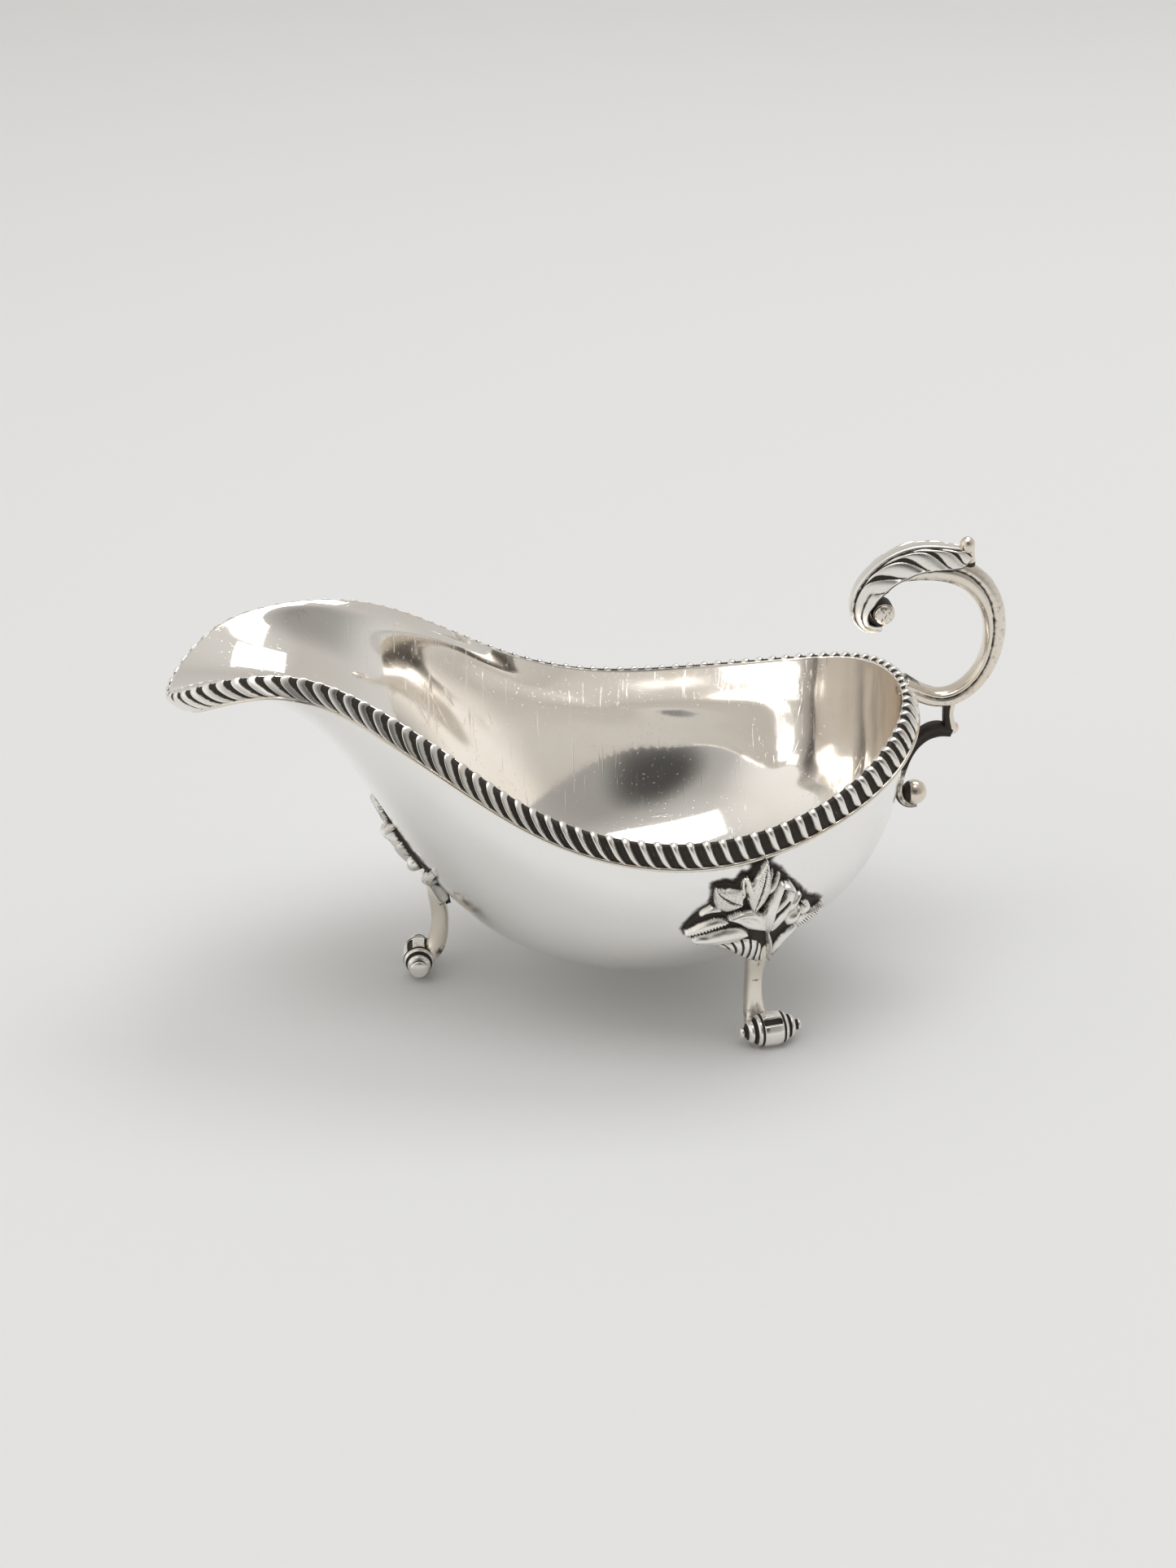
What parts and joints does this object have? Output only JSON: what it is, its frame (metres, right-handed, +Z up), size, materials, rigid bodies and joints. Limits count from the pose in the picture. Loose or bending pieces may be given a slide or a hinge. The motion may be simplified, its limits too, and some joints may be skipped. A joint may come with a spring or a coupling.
{
  "type": "sauce boat",
  "caption": "Silver sauce boat with a drawn-out spout, gadrooned rim, flying leaf-capped scroll handle and three scroll feet with foliate mounts.",
  "frame": {"origin": "centre of the object's bounding box in plan, on the plane the three feet stand on", "axes": "-X towards the tip of the spout, +X towards the handle, -Y port side (on the left looking towards the spout), +Z up"},
  "size_m": [0.1833, 0.0952, 0.1027],
  "materials": {
    "polished_silver": "hand-polished silver sheet, mirror bright with fine wear scratches",
    "cast_silver": "cast and polished silver, softly worn, faint dark tarnish in the corners",
    "oxidised_casting": "cast silver with bright rubbed high places and near-black oxide left in the recesses"
  },
  "bodies": {
    "root": {"bowl": "polished_silver", "border_port": "oxidised_casting", "border_starboard": "oxidised_casting", "rim_wire": "polished_silver", "handle_scroll": "cast_silver", "handle_leaf": "oxidised_casting", "leaf_tip": "cast_silver", "curl_button": "cast_silver", "handle_strut": "cast_silver", "strut_knuckle": "cast_silver", "lower_scroll": "cast_silver", "drop_ball": "cast_silver", "scroll_pad": "cast_silver", "front_mount": "oxidised_casting", "port_mount": "oxidised_casting", "starboard_mount": "oxidised_casting", "front_leg": "cast_silver", "port_leg": "cast_silver", "starboard_leg": "cast_silver", "front_roll": "oxidised_casting", "port_roll": "oxidised_casting", "starboard_roll": "oxidised_casting"}
  },
  "joints": []
}
